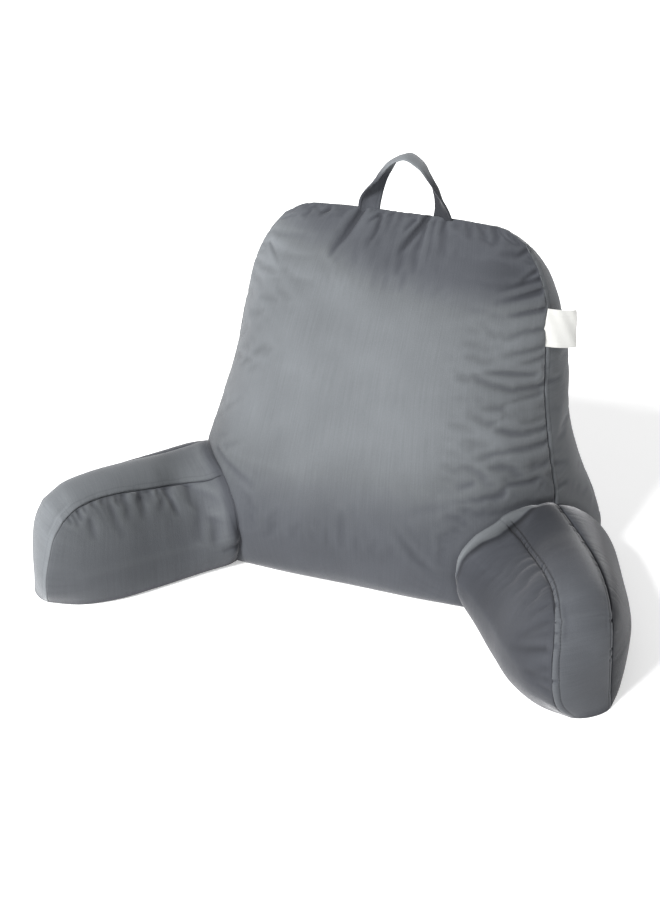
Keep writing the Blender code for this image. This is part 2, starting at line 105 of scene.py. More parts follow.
# ---- Pattern ---------------------------------------------------------------
# An edge is a row of places on a panel's edge; X is across (or along an arm), Z is the height.
# A panel's crown is how far it swells at each share of its height, and a strip's at each height.
FRONT_SIDE = (
    (0.228, -0.09, 0), (0.254, -0.062, 0.03), (0.26, -0.04, 0.075),
    (SEAM_HALF_WIDTH, -0.014, 0.127), (0.231, 0.007, 0.2), (0.218, 0.024, 0.26),
    (0.211, 0.043, 0.325), (0.203, 0.059, 0.38), (0.187, 0.069, 0.416), (0.168, 0.077, 0.441),
)
FRONT_TOP_HALF = (
    FRONT_SIDE[-1], (0.143, 0.082, 0.4545), (0.1, 0.085, 0.459), (0.05, 0.086, TOP_SEAM_HEIGHT),
    (0, 0.086, TOP_SEAM_HEIGHT),
)
FRONT_BOTTOM_HALF = ((0, -0.108, 0), (0.12, -0.108, 0), (0.19, -0.103, 0), FRONT_SIDE[0])
FRONT_CROWN = (
    (0, 0.085), (0.15, 0.108), (0.35, 0.114), (0.6, 0.098), (0.8, 0.07), (0.92, 0.036), (1, 0.02),
)
REAR_SIDE = (
    (0.276, BACK_DEPTH - 0.004, 0), (0.281, BACK_DEPTH, 0.025), (0.27, BACK_DEPTH, 0.07),
    (0.243, BACK_DEPTH, 0.13), (0.222, BACK_DEPTH, 0.2), (0.219, BACK_DEPTH, 0.26),
    (0.211, BACK_DEPTH, 0.315), (0.198, BACK_DEPTH, 0.362), (0.182, BACK_DEPTH, 0.394),
    (0.166, BACK_DEPTH, 0.411),
)
REAR_TOP_HALF = (
    REAR_SIDE[-1], (0.146, BACK_DEPTH, 0.4195), (0.1, BACK_DEPTH, 0.422), (0.05, BACK_DEPTH, 0.422),
    (0, BACK_DEPTH, 0.422),
)
REAR_BOTTOM_HALF = ((0, BACK_DEPTH, 0), (0.12, BACK_DEPTH, 0), (0.19, BACK_DEPTH, 0), REAR_SIDE[0])
REAR_CROWN = ((0, 0.03), (0.3, 0.036), (0.7, 0.032), (1, 0.022))
SIDE_BAND_CROWN = ((0, 0.008), (0.13, 0.01), (0.3, 0.01), (0.35, 0.005), (0.44, 0.002))

# An arm's own frame: X runs forwards along it and Y outwards from the seat. Its root lies inside
# the back.
INNER_TOP = (
    (0.16, -0.086, 0.134), (0.175, -0.062, 0.13), (0.19, -0.043, 0.113), (0.218, -0.036, 0.109),
    (0.269, -0.034, 0.118), (0.331, -0.036, 0.131), (0.361, -0.038, 0.134),
    (0.39, -0.042, ARM_HEIGHT), (0.413, -0.047, 0.124),
)
# At -X the seam meets the back further inwards.
LEFT_TOP_START = ((0.16, -0.108, 0.136), (0.178, -0.084, 0.13), (0.193, -0.055, 0.113))
INNER_FRONT = (
    (0.43, -0.024, 0), (0.445, -0.046, 0.026), (0.449, -0.054, 0.056), (0.442, -0.054, 0.084),
    (0.431, -0.051, 0.108), INNER_TOP[-1],
)
INNER_BOTTOM = (
    (0.164, -0.104, 0), (0.22, -0.094, 0), (0.3, -0.085, 0), (0.362, -0.074, 0), (0.403, -0.054, 0),
    INNER_FRONT[0],
)
INNER_REAR = (
    INNER_BOTTOM[0], (0.168, -0.122, 0.032), (0.17, -0.128, 0.064), (0.168, -0.124, 0.094),
    (0.165, -0.114, 0.117), INNER_TOP[0],
)
OUTER_TOP = (
    (0.108, 0.021, 0.118), (0.134, 0.024, 0.122), (0.19, 0.032, 0.122), (0.263, 0.035, 0.127),
    (0.33, 0.033, 0.131), (0.368, 0.03, 0.13), (0.395, 0.028, 0.12),
)
OUTER_FRONT = (
    (0.414, 0.03, 0), (0.411, 0.029, 0.026), (0.411, 0.028, 0.056), (0.412, 0.027, 0.082),
    (0.408, 0.027, 0.104), OUTER_TOP[-1],
)
OUTER_BOTTOM = (
    (0.032, 0.092, 0), (0.12, 0.086, 0), (0.2, 0.078, 0), (0.28, 0.07, 0), (0.35, 0.057, 0),
    (0.39, 0.043, 0), OUTER_FRONT[0],
)
OUTER_REAR = (
    OUTER_BOTTOM[0], (0.032, 0.092, 0.03), (0.052, 0.075, 0.062), (0.082, 0.049, 0.093),
    OUTER_TOP[0],
)
INNER_CROWN = ((0, 0.02), (0.4, 0.027), (1, 0.018))
OUTER_CROWN = ((0, 0.016), (0.4, 0.025), (1, 0.018))
TOP_BAND_CROWN = ((0, 0.01), (0.105, 0.01), (0.125, 0.016))

HANDLE_HALF = (
    (HANDLE_FOOT_X, -0.01), (HANDLE_FOOT_X - 0.002, 0.01), (0.043, 0.03), (0.032, 0.05),
    (0.018, 0.067), (0, HANDLE_RISE),
)

# Folds in millimetres: the width, the depth and then the path. Each is deepest where it starts, at
# a seam, and gone by its end. A path on the front panel is X and Z.
FRONT_FOLDS = (
    (9, 6, (-60, 455), (-71, 429), (-86, 406)), (5, 3, (-35, 454), (-49, 444)),
    (6, 2.5, (-31, 452), (-29, 438), (-40, 418)), (4, 1.5, (-16, 457), (-28, 450)),
    (8, 7, (31, 456), (20, 439), (7, 417)), (6, 3, (16, 453), (7, 442), (4, 433)),
    (6, 2, (34, 448), (30, 435), (26, 420)), (7, 2.5, (42, 454), (46, 432), (51, 412)),
    (6, 2, (56, 457), (56, 440)), (6, 3, (-104, 452), (-117, 445)),
    (6, 2, (-181, 402), (-150, 385)), (5, 1.5, (-129, 447), (-136, 437)),
    (9, 2, (125, 457), (137, 444)), (6, 2.5, (171, 435), (157, 426)),
    (6, 3.5, (185, 410), (170, 401)), (8, 5, (195, 387), (173, 384), (153, 382)),
    (7, 4.5, (203, 365), (183, 366), (163, 365)), (7, 2.5, (206, 320), (185, 322), (166, 322)),
    (6, 2, (209, 307), (183, 309)), (7, 2.2, (205, 291), (174, 301), (137, 305)),
    (9, 3.4, (213, 272), (186, 280), (157, 294), (137, 304)),
    (6, 3.5, (213, 263), (195, 268), (176, 267)), (8, 1.6, (179, 262), (154, 265)),
    (7, 1.8, (218, 233), (199, 241)), (8, 1.8, (181, 250), (165, 246)),
    (9, 3, (223, 220), (194, 230), (166, 247), (148, 257)),
    (9, 3.6, (226, 203), (200, 210), (184, 212), (170, 209), (156, 203)),
    (8, 1.8, (222, 185), (198, 190)), (7, 2.8, (227, 166), (204, 170), (186, 167)),
    (9, 1.8, (160, 179), (143, 173)), (9, 2, (196, 161), (168, 159), (137, 155)),
    (9, 2, (231, 179), (213, 178), (190, 180)), (7, 2, (205, 342), (187, 345), (168, 339)),
    (7, 3.5, (194, 402), (174, 398), (142, 391)), (16, 1.6, (116, 150), (65, 128)),
    (9, 1.6, (-204, 150), (-136, 134)), (9, 2.2, (252, 126), (222, 143), (197, 140), (160, 139)),
)
# On an arm's inner panel: how far along it, and Z. The gathers hang from the top band's seam.
LEFT_ARM_FOLDS = (
    (3.5, 1.5, (403, 126), (403, 119)), (4, 2, (396, 128), (395, 115)),
    (4.5, 3, (387, 132), (389, 120)), (3, 1.5, (378, 132), (379, 126)),
    (3.5, 1.5, (363, 135), (367, 129)), (3.5, 2, (347, 133), (352, 128)),
    (3.5, 1.5, (335, 132), (345, 128)), (4.5, 2, (324, 129), (333, 122)),
    (4.5, 3, (313, 127), (327, 121)), (4.5, 2, (286, 120), (307, 113)),
    (6, 3, (273, 117), (288, 115), (307, 99)), (3.5, 2, (258, 114), (269, 111)),
    (6, 3.2, (242, 111), (247, 106), (251, 85)), (5, 2, (250, 111), (279, 98)),
    (6, 3.2, (213, 107), (228, 90)), (9, 5, (204, 100), (224, 78), (241, 54)),
    (7, 3.5, (210, 75), (222, 44)), (6, 1.5, (316, 119), (329, 104)),
    (8, 1.5, (342, 123), (345, 105), (338, 86)), (6, 1.5, (378, 117), (383, 96)),
    (6, 2, (191, 40), (212, 35)),
)
RIGHT_ARM_FOLDS = (
    (6, 3.5, (199, 103), (219, 89), (217, 66)), (6, 3, (219, 103), (240, 92), (239, 68)),
    (5, 2, (236, 108), (258, 98), (256, 74)), (6, 3, (259, 113), (275, 101), (271, 79)),
    (6, 2.5, (285, 121), (308, 113), (303, 93)), (6, 2.5, (340, 128), (351, 121), (342, 104)),
    (5, 2, (381, 127), (375, 119), (369, 107)), (6, 3.5, (402, 120), (393, 107), (372, 78)),
    (5, 1.5, (416, 112), (394, 94), (364, 80)), (5, 4, (424, 97), (403, 83), (367, 67)),
    (5, 2.5, (436, 76), (423, 64), (403, 50)), (5, 2.5, (441, 64), (425, 58), (408, 58)),
    (5, 2, (443, 51), (432, 53), (418, 55)),
)
# On the back's side band at +X: how far back, and Z.
SIDE_BAND_FOLDS = (
    (6, 2, (28, 275), (48, 271), (70, 267)), (6, 2.2, (0, 174), (20, 168), (42, 161)),
    (5, 1.8, (2, 143), (28, 139)),
)

# How many faces the cloth has across a panel, up it and over the strip.
Cells = namedtuple("Cells", "across up deep")
BACK_CELLS = Cells(across=110, up=130, deep=20)
ARM_CELLS = Cells(across=110, up=50, deep=24)

# By an arm's side, 1 at +X and -1 at -X. How its folds are pressed in, as shares of their width, of
# their depth before the filling and after it, and of the ridges along them.
Folding = namedtuple("Folding", "width depth fine_depth ridge")
FOLDING = {1: Folding(1.35, 0.6, 0.1, 0), -1: Folding(1.2, 1.0, 0.25, 0.3)}
# How plainly the topstitching shows on each cushion.
STITCHED = {"velvet_back": 0.4, "velvet_arm_right": 1, "velvet_arm_left": 0.15}

# An arm's end beside the back: how many millimetres it is let out, at these angles up from straight
# inwards, seen from the middle of the end, which is this high.
ROOT_MIDDLE = 0.070
LET_OUT = {
    1: ((-30, -5), (-21, -5.9), (-11, -5.5), (-2, -3), (7, 1.7), (13, 2.9), (21, 2.2), (33, 3.2),
        (46, 2.3), (58, -3.5), (79, -8), (95, -4), (112, 0)),
    -1: ((-28, -5.1), (-17, -7), (-4, -5.5), (8, -2.1), (17, -0.6), (26, -1.1), (35, -2.9),
         (43, -3.6), (53, -4.7), (70, -2.8), (90, -1), (112, 0)),
}


# ---- Small tools -----------------------------------------------------------
def colour_of(hex_value):
    """Linear RGBA of an sRGB colour such as 0x7A7D82."""
    channels = [(hex_value >> shift & 255) / 255 for shift in (16, 8, 0)]
    linear = [c / 12.92 if c <= 0.04045 else ((c + 0.055) / 1.055) ** 2.4 for c in channels]
    return (*linear, 1.0)


def add_node(material, kind, *feeds, output=0, **settings):
    """Add a shader node and give its output. A feed is an input and the socket or value for it."""
    made = material.node_tree.nodes.new(kind)
    for name, value in settings.items():
        setattr(made, name, value)
    for name, value in feeds:
        if isinstance(value, bpy.types.NodeSocket):
            material.node_tree.links.new(value, made.inputs[name])
        else:
            made.inputs[name].default_value = value
    return made.outputs[output]


def apply_modifier(piece, modifier):
    bpy.ops.object.select_all(action="DESELECT")
    piece.select_set(True)
    bpy.context.view_layer.objects.active = piece
    bpy.ops.object.modifier_apply(modifier=modifier.name)


def vectors_of(items, name):
    """One vector of each item, as an array."""
    flat = np.empty(len(items) * 3, np.float32)
    items.foreach_get(name, flat)
    return flat.reshape(-1, 3).astype(float)


def places(piece):
    return vectors_of(piece.data.vertices, "co")


def normals_of(piece):
    return vectors_of(piece.data.vertex_normals, "vector")


def move_to(piece, points):
    piece.data.vertices.foreach_set("co", np.asarray(points, np.float32).ravel())
    piece.data.update()


def push(piece, change):
    """Move each vertex out along its normal, or in where the change is below 0."""
    move_to(piece, places(piece) + normals_of(piece) * change[:, None])


def marks(piece, name):
    """The values of a mark that was put on the vertices."""
    flat = np.empty(len(piece.data.vertices), np.float32)
    piece.data.attributes[name].data.foreach_get("value", flat)
    return flat


def put_marks(piece, name, values):
    attributes = piece.data.attributes
    layer = attributes.get(name) or attributes.new(name, "FLOAT", "POINT")
    layer.data.foreach_set("value", np.asarray(values, np.float32))


def unit(vectors):
    return vectors / np.linalg.norm(vectors, axis=-1, keepdims=True)


def lengths(line):
    """How far along a line each of its points lies."""
    return np.r_[0, np.cumsum(np.linalg.norm(np.diff(line, axis=0), axis=1))]


def along_line(line, steps):
    """The places at these lengths along a line."""
    along = lengths(line)
    return np.stack([np.interp(steps, along, line[:, k]) for k in range(3)], axis=1)


def hump(distance, middle, width):
    """1 at the middle, fading to 0 on both sides."""
    return np.exp(-(((distance - middle) / width) ** 2))


def fade(values, low, high):
    """0 below the low value and 1 above the high one, with a soft step between them."""
    t = np.clip((values - low) / (high - low), 0, 1)
    return t * t * (3 - 2 * t)


def ramp(values, low, reach):
    """0 below the low value and 1 from the reach above it, with a straight slope between them."""
    return np.clip((values - low) / reach, 0, 1)


def ripple(points, size, seed):
    """Soft noise from about -1 to 1 at each point, with lumps of the given size."""
    shift = Vector((seed * 17.3, seed * 5.1, seed * 9.7))
    return np.array([noise.noise(Vector(p) / size + shift) for p in points])


def tree_of(points):
    tree = KDTree(len(points))
    for i, point in enumerate(points):
        tree.insert(point, i)
    tree.balance()
    return tree


def distances(tree, points):
    """How far each point is from the nearest one in the tree."""
    return np.array([tree.find(p)[2] for p in points])


def hollows_of(piece, rounds):
    """How far each vertex lies below the cloth round it. With more rounds that is a wider patch."""
    edges = np.empty(len(piece.data.edges) * 2, np.int32)
    piece.data.edges.foreach_get("vertices", edges)
    first, second = edges.reshape(-1, 2).T
    points = places(piece)
    whole = len(points)
    count = np.bincount(edges, minlength=whole)[:, None]
    around = points.copy()
    for _ in range(rounds):
        sums = [
            np.bincount(first, axis[second], whole) + np.bincount(second, axis[first], whole)
            for axis in around.T
        ]
        around = np.stack(sums, axis=1) / count
    return ((around - points) * normals_of(piece)).sum(1)


def surface_of(piece):
    mesh = piece.data
    return BVHTree.FromPolygons([v.co for v in mesh.vertices], [p.vertices for p in mesh.polygons])


# ---- Pattern to cloth ------------------------------------------------------
def smooth_curve(points, shares):
    """The places at these shares of the way along a smooth curve that passes through the points."""
    points = np.array(points, float)
    along = lengths(points)
    along /= along[-1]
    slopes = np.gradient(points, along, axis=0)
    i = np.clip(np.searchsorted(along, shares, side="right") - 1, 0, len(along) - 2)
    span = along[i + 1] - along[i]
    t = ((shares - along[i]) / span)[:, None]
    span = span[:, None]
    return (
        (2 * t**3 - 3 * t**2 + 1) * points[i]
        + (t**3 - 2 * t**2 + t) * span * slopes[i]
        + (3 * t**2 - 2 * t**3) * points[i + 1]
        + (t**3 - t**2) * span * slopes[i + 1]
    )


def whole_width(half, from_middle):
    """A curve from the left edge to the right one, from its right half."""
    out = list(half) if from_middle else list(reversed(half))
    return mirrored(reversed(out)) + out[1:]


def mirrored(side):
    return [(-x, y, z) for x, y, z in side]


def closer_at_ends(count, bunching=0.75):
    """Shares from 0 to 1 that lie closer near both ends, where a panel turns into its seam."""
    even = np.linspace(0, 1, count + 1)
    return (1 - bunching) * even + bunching * (0.5 - 0.5 * np.cos(math.pi * even))


def swell(shares, flatness, steepness):
    """0 at both ends and 1 in the middle: how far a filled panel has risen off its seams."""
    return (1 - np.abs(2 * shares - 1) ** flatness) ** steepness


def panel_grid(bottom, top, side_a, side_b, crown, out, cells, side_fade=1, fuller=0):
    """Points of a crowned panel, [up][across], inside four edge curves.

    The side curves run upwards, the others from side a to side b. The larger side_fade is, the
    sooner the shape of a side curve is lost away from that side. Near side a the panel rises
    higher by the share called fuller.
    """
    u = closer_at_ends(cells.across)
    v = closer_at_ends(cells.up)
    low, high = smooth_curve(bottom, u)[None], smooth_curve(top, u)[None]
    a, b = smooth_curve(side_a, v)[:, None], smooth_curve(side_b, v)[:, None]
    s, t = u[None, :, None], v[:, None, None]
    flat = (1 - t) * low + t * high
    flat = flat + (1 - s) ** side_fade * (a - (1 - t) * a[:1] - t * a[-1:])
    flat = flat + s**side_fade * (b - (1 - t) * b[:1] - t * b[-1:])
    height = np.interp(v, *np.transpose(crown))
    rise = height[:, None] * swell(v, 2.6, 0.62)[:, None] * swell(u, 3.2, 0.8)[None]
    rise = rise * (1 + fuller * (1 - u) ** 2)
    return flat + rise[:, :, None] * np.array(out, float)


def rim(grid):
    """The grid's outer items, once round: the bottom, up side b, back along the top, down a."""
    rows = [list(row) for row in grid]
    up, down = [row[-1] for row in rows[:-1]], [row[0] for row in rows[:0:-1]]
    return rows[0][:-1] + up + rows[-1][:0:-1] + down


def strip_between(near, far, crown, cells):
    """Rows of points of the strip between two panels' edges, swollen outwards but never down."""
    near, far = np.array(rim(near)), np.array(rim(far))
    middle = (near.mean(0) + far.mean(0)) / 2
    tangent = np.roll(near, -1, 0) - np.roll(near, 1, 0) + np.roll(far, -1, 0) - np.roll(far, 1, 0)
    outward = unit(np.cross(far - near, tangent))
    inward = ((near + far) / 2 - middle) * outward
    outward[inward.sum(1) < 0] *= -1
    outward[:, 2] = np.maximum(outward[:, 2], 0)
    bulge = np.interp((near[:, 2] + far[:, 2]) / 2, *np.transpose(crown))
    shares = closer_at_ends(cells.deep)[1:-1, None, None]
    rise = bulge[None, :, None] * swell(shares, 2.2, 0.8)
    return near + (far - near) * shares + outward * rise


def cloth_body(name, near, far, strip, cells):
    """A closed body of quads from a near panel, a far panel and the rows of the strip between them.

    Marks on its vertices: "panel" is 1 on the near panel, -1 on the far one and 0 on the strip, and
    "rim" is 1 and -1 on their edges. Each panel and the strip has its own flat UVs, in metres.
    """
    mesh = bmesh.new()
    panel_mark = mesh.verts.layers.float.new("panel")
    rim_mark = mesh.verts.layers.float.new("rim")
    flat = mesh.loops.layers.uv.new("flat")

    def row_of(points, value):
        made = [mesh.verts.new(p) for p in points]
        for vertex in made:
            vertex[panel_mark] = value
        return made

    def quads(grid, along, over):
        for j in range(len(grid) - 1):
            for i in range(len(grid[j]) - 1):
                corners = ((j, i), (j, i + 1), (j + 1, i + 1), (j + 1, i))
                face = mesh.faces.new([grid[b][a] for b, a in corners])
                for loop, (b, a) in zip(face.loops, corners):
                    loop[flat].uv = (along[a], over[b])

    grids = []
    for points, value in ((near, 1.0), (far, -1.0)):
        grid = [row_of(row, value) for row in points]
        quads(grid, lengths(points[len(points) // 2]), lengths(points[:, points.shape[1] // 2]))
        for vertex in rim(grid):
            vertex[panel_mark] = 0.0
            vertex[rim_mark] = value
        grids.append(grid)
    rows = [rim(grids[0])] + [row_of(points, 0.0) for points in strip] + [rim(grids[1])]
    rows = [row + row[:1] for row in rows]
    near_rim, far_rim = np.array(rim(near)), np.array(rim(far))
    depth = np.linalg.norm(far_rim - near_rim, axis=1).mean()
    round_it = lengths(np.vstack([near_rim, near_rim[:1]]))
    quads(rows, round_it, closer_at_ends(cells.deep) * depth)
    bmesh.ops.recalc_face_normals(mesh, faces=mesh.faces)
    for vertex in mesh.verts:
        vertex.co.z = max(vertex.co.z, 0.0)
    crease = mesh.edges.layers.float.new("crease_edge")
    for row in (rows[0], rows[-1]):
        for first, second in zip(row, row[1:]):
            mesh.edges.get((first, second))[crease] = 1.0
    return as_piece(name, mesh)


def as_piece(name, mesh):
    data = bpy.data.meshes.new(name)
    mesh.to_mesh(data)
    mesh.free()
    data.shade_smooth()
    made = bpy.data.objects.new(name, data)
    bpy.context.scene.collection.objects.link(made)
    return made


def subdivide(piece):
    smoother = piece.modifiers.new("finer", "SUBSURF")
    smoother.levels = smoother.render_levels = 1
    apply_modifier(piece, smoother)
    piece.data.shade_smooth()


def fill(piece, held, fullness, cap):
    """Blow the cover up from inside. Its cloth is larger than its pattern and puckers at the seams.

    held is how firmly each vertex stays where it is and fullness how much larger the cloth is
    there, from 0 to 1. No vertex moves by more than the cap.
    """
    start = places(piece)
    for name, weights in (("held", held), ("fullness", 1 - fullness)):
        group = piece.vertex_groups.new(name=name)
        steps = np.round(weights, 1)
        for value in np.unique(steps):
            group.add([int(i) for i in np.flatnonzero(steps == value)], float(value), "REPLACE")
    filling = piece.modifiers.new("filling", "CLOTH")
    cloth = filling.settings
    cloth.quality = 4
    cloth.use_pressure = True
    cloth.uniform_pressure_force = PRESSURE
    cloth.vertex_group_mass = "held"
    cloth.vertex_group_shrink = "fullness"
    cloth.shrink_min = -FULLNESS
    cloth.shrink_max = 0.0
    cloth.effector_weights.gravity = 0.0
    for frame_number in range(1, FILL_FRAMES + 1):
        bpy.context.scene.frame_set(frame_number)
    apply_modifier(piece, filling)
    bpy.context.scene.frame_set(1)
    piece.vertex_groups.clear()
    moved = places(piece) - start
    far = np.linalg.norm(moved, axis=1)
    points = start + moved * np.minimum(1, cap / np.maximum(far, 1e-9))[:, None]
    points[:, 2] = np.maximum(points[:, 2], 0)
    move_to(piece, points)


def held_by_seams(piece, points):
    """How firmly each vertex is held while its cushion is filled: at the seams and at the floor."""
    held = np.clip(1.4 - from_rim(piece) / 0.004, 0, 1)
    held[points[:, 2] < 0.002] = 1
    return held


# ---- Sewing ----------------------------------------------------------------
# Seams, gathers and folds are moved into the cloth after it is filled.
def fold_depth(flat, folds, width, ridge):
    """How deep the folds press at each point of a panel: valleys with a ridge along both sides."""
    press = np.zeros(len(flat))
    for wide, deep, *path in folds:
        path = np.array(path) * MM
        whole = np.linalg.norm(np.diff(path, axis=0), axis=1).sum()
        away, share, before = np.full(len(flat), np.inf), np.zeros(len(flat)), 0.0
        for start, end in zip(path, path[1:]):
            run, length = end - start, np.linalg.norm(end - start)
            part = np.clip((flat - start) @ run / length**2, 0, 1)
            apart = np.linalg.norm(flat - start - part[:, None] * run, axis=1)
            closer = apart < away
            away[closer] = apart[closer]
            share[closer] = (before + part[closer] * length) / whole
            before += length
        away = away / (wide * MM * width)
        press += deep * MM * (1 - share**2) * (1 - ridge * away**2) * np.exp(-(away**2))
    return press


def press_folds(piece, flat, folds, width, depth, ridge, share=None):
    """Press folds into the near panel, or by the share given for each vertex."""
    if share is None:
        share = np.clip(marks(piece, "panel") * 3, 0, 1)
    push(piece, -depth * fold_depth(flat, folds, width, ridge) * share)


def on_strip(piece):
    return np.abs(marks(piece, "panel")) < 0.01


def from_seams(piece):
    """For each of the two seams: how far each vertex is from it, and the seam's nearest point."""
    points, on_rim = places(piece), marks(piece, "rim")
    found = {}
    for side in (1.0, -1.0):
        tree = tree_of(points[on_rim * side > 0.99])
        nearest = [tree.find(p) for p in points]
        found[side] = np.array([n[2] for n in nearest]), np.array([n[0] for n in nearest])
    return found


def from_rim(piece):
    """How far each vertex is from the nearer seam."""
    return np.minimum(*(distance for distance, _ in from_seams(piece).values()))


def mark_seams(piece, clear):
    """Mark where the seams show: how far each vertex is from one, above 0 on the strip.

    Within the clear distance of an arm's root no seam shows.
    """
    distance = from_rim(piece)
    put_marks(piece, "seam", np.where(on_strip(piece), distance, -distance))
    sewn = fade(marks(piece, "root"), clear, clear + 0.004) if clear else np.ones(len(distance))
    put_marks(piece, "sewn", sewn)
    put_marks(piece, "stitched", STITCHED[piece.name] * sewn)


def sew(piece, reach, still=0):
    """Draw each seam in, raise a welt along the strip's side of it, and gather the cloth beside it.

    reach scales how far the gathers run from the seam. Where still is 1, nothing moves.
    """
    panel, strip, stitched = marks(piece, "panel"), on_strip(piece), STITCHED[piece.name]
    points = places(piece)
    change = np.zeros(len(points))
    for side, (distance, nearest) in from_seams(piece).items():
        groove = SEAM_GROOVE * hump(distance, 0, GROOVE_WIDTH)
        change -= groove + (SEAM_DIP - SEAM_GROOVE) * np.exp(-distance / DIP_REACH)
        welt = WELT_HEIGHT * hump(distance, WELT_PLACE, WELT_WIDTH)
        stitch_line = STITCH_DENT * hump(distance, STITCH_LINE, STITCH_WIDTH)
        change += np.where(strip, stitched * (welt - stitch_line), 0)
        near = np.flatnonzero(((panel * side > 0.01) | strip) & (distance < 0.06))
        d, foot = distance[near], nearest[near]
        # Waves of 8 and 4.5 mm, cut off at the top, so that the cloth is drawn in between them.
        waves = np.minimum(ripple(foot, 0.0080, 3) + 0.4 * ripple(foot, 0.0045, 4), 0.15)
        length = reach * (0.010 + 0.012 * (ripple(foot, 0.020, 5) + 0.6))
        pull = GATHER * waves * np.exp(-d / length) * (1 - np.exp(-d / 0.002))
        # Between the seam and its topstitching the strip puckers, every centimetre or so.
        pucker = PUCKER * stitched * fade(ripple(foot, 0.0060, 8), 0.15, 0.45)
        pucker = pucker * hump(d, 0.0036, 0.0040)
        change[near] += np.where(strip[near], 0.3 * pull * np.exp(-d / 0.012) - pucker, pull)
    change *= 1 - still
    push(piece, change * ramp(points[:, 2], 0, 0.02))


def outside(tree, point):
    """How far a point lies outside a closed body, negative inside it, never asked at the floor."""
    point = Vector((point[0], point[1], max(point[2], FLOOR_CLEAR)))
    place, normal, _, distance = tree.find_nearest(point)
    return math.copysign(distance, (point - place).dot(normal))


def gaps(tree, piece):
    return np.array([outside(tree, p) for p in places(piece)])


def leave(tree, line, spread):
    """The part of a line outside a body, from where it leaves it, with points at these shares."""
    inside = [i for i, point in enumerate(line) if outside(tree, point) < SEWN_GAP]
    if inside:
        last = inside[-1]
        low, high = line[last], line[last + 1]
        for _ in range(12):
            middle = (low + high) / 2
            if outside(tree, middle) < SEWN_GAP:
                low = middle
            else:
                high = middle
        line = np.vstack([high, line[last + 1 :]])
    return along_line(line, spread * lengths(line)[-1])


def onto(tree, points):
    """The points moved to just outside the body's nearest surface."""
    moved = []
    for point in points:
        lifted = Vector((point[0], point[1], max(point[2], FLOOR_CLEAR)))
        place, normal, _, _ = tree.find_nearest(lifted)
        place = place + normal * SEWN_GAP
        moved.append((place.x, place.y, place.z if point[2] > FLOOR_CLEAR else point[2]))
    return np.array(moved)


# ---- The back --------------------------------------------------------------
def back_panel(bottom, top, side, crown, out):
    """A panel of the back, from the right half of its edges."""
    bottom, top = whole_width(bottom, from_middle=True), whole_width(top, from_middle=False)
    panel = panel_grid(bottom, top, mirrored(side), side, crown, out, BACK_CELLS)
    panel[:, :, 0] -= TOP_LEAN * np.clip(panel[:, :, 2] / TOP_SEAM_HEIGHT, 0, 1)
    return panel


def make_back():
    front = back_panel(FRONT_BOTTOM_HALF, FRONT_TOP_HALF, FRONT_SIDE, FRONT_CROWN, (0, -1, 0.16))
    rear = back_panel(REAR_BOTTOM_HALF, REAR_TOP_HALF, REAR_SIDE, REAR_CROWN, (0, 1, 0.02))
    strip = strip_between(front, rear, SIDE_BAND_CROWN, BACK_CELLS)
    piece = cloth_body("velvet_back", front, rear, strip, BACK_CELLS)
    piece.data.transform(Matrix.Translation(PATTERN_SHIFT))
    seen_from_front = lambda: places(piece)[:, [0, 2]]
    press_folds(piece, seen_from_front(), FRONT_FOLDS, width=0.8, depth=0.8, ridge=0.8)
    points = places(piece)
    held = held_by_seams(piece, points)
    bare = surface_of(piece)
    for side in (1, -1):
        root = tree_of(root_of(*arm_pattern(side, bare)))
        held = np.maximum(held, hump(distances(root, points), 0, 0.024))
    right_and_top = np.maximum(ramp(points[:, 0], 0.11, 0.10), ramp(points[:, 2], 0.37, 0.08))
    clear_of_base = ramp(points[:, 2], 0.05, 0.05)
    fullness = (0.1 + 0.4 * right_and_top * (marks(piece, "panel") > 0)) * clear_of_base
    fill(piece, held, fullness, SWELL_CAP)
    subdivide(piece)
    press_folds(piece, seen_from_front(), FRONT_FOLDS, width=0.4, depth=0.3, ridge=0)
    on_right_band = on_strip(piece) * (places(piece)[:, 0] > 0.1) * fade(from_rim(piece), 0, 0.01)
    seen_from_side = places(piece)[:, 1:] - (PATTERN_SHIFT.y, 0)
    press_folds(piece, seen_from_side, SIDE_BAND_FOLDS, 1, 1, ridge=0.6, share=on_right_band)
    sew(piece, reach=1.3)
    return piece


def dent_along(piece, line):
    """Draw the back in along the line where an arm is sewn to it."""
    points = places(piece)
    near = hump(distances(tree_of(line), points), 0, 0.006)
    push(piece, -ROOT_DENT * near * ramp(points[:, 2], 0, 0.02))


# ---- The arms --------------------------------------------------------------
def arm_place(side):
    """From an arm's own frame to the pillow's. side is 1 for the arm at +X and -1 for the other."""
    forwards = Vector((side * math.sin(ARM_SPLAY), -math.cos(ARM_SPLAY), 0))
    outwards = Vector((math.cos(ARM_SPLAY), side * math.sin(ARM_SPLAY), 0))
    place = Matrix((forwards, outwards, (0, 0, 1))).transposed().to_4x4()
    place.translation = outwards * side * ARM_CENTRE + PATTERN_SHIFT
    return place


def placed(points, place):
    matrix = np.array(place)
    return points @ matrix[:3, :3].T + matrix[:3, 3]


def in_arm(points, side):
    """The points in an arm's own frame."""
    return placed(points, arm_place(side).inverted())


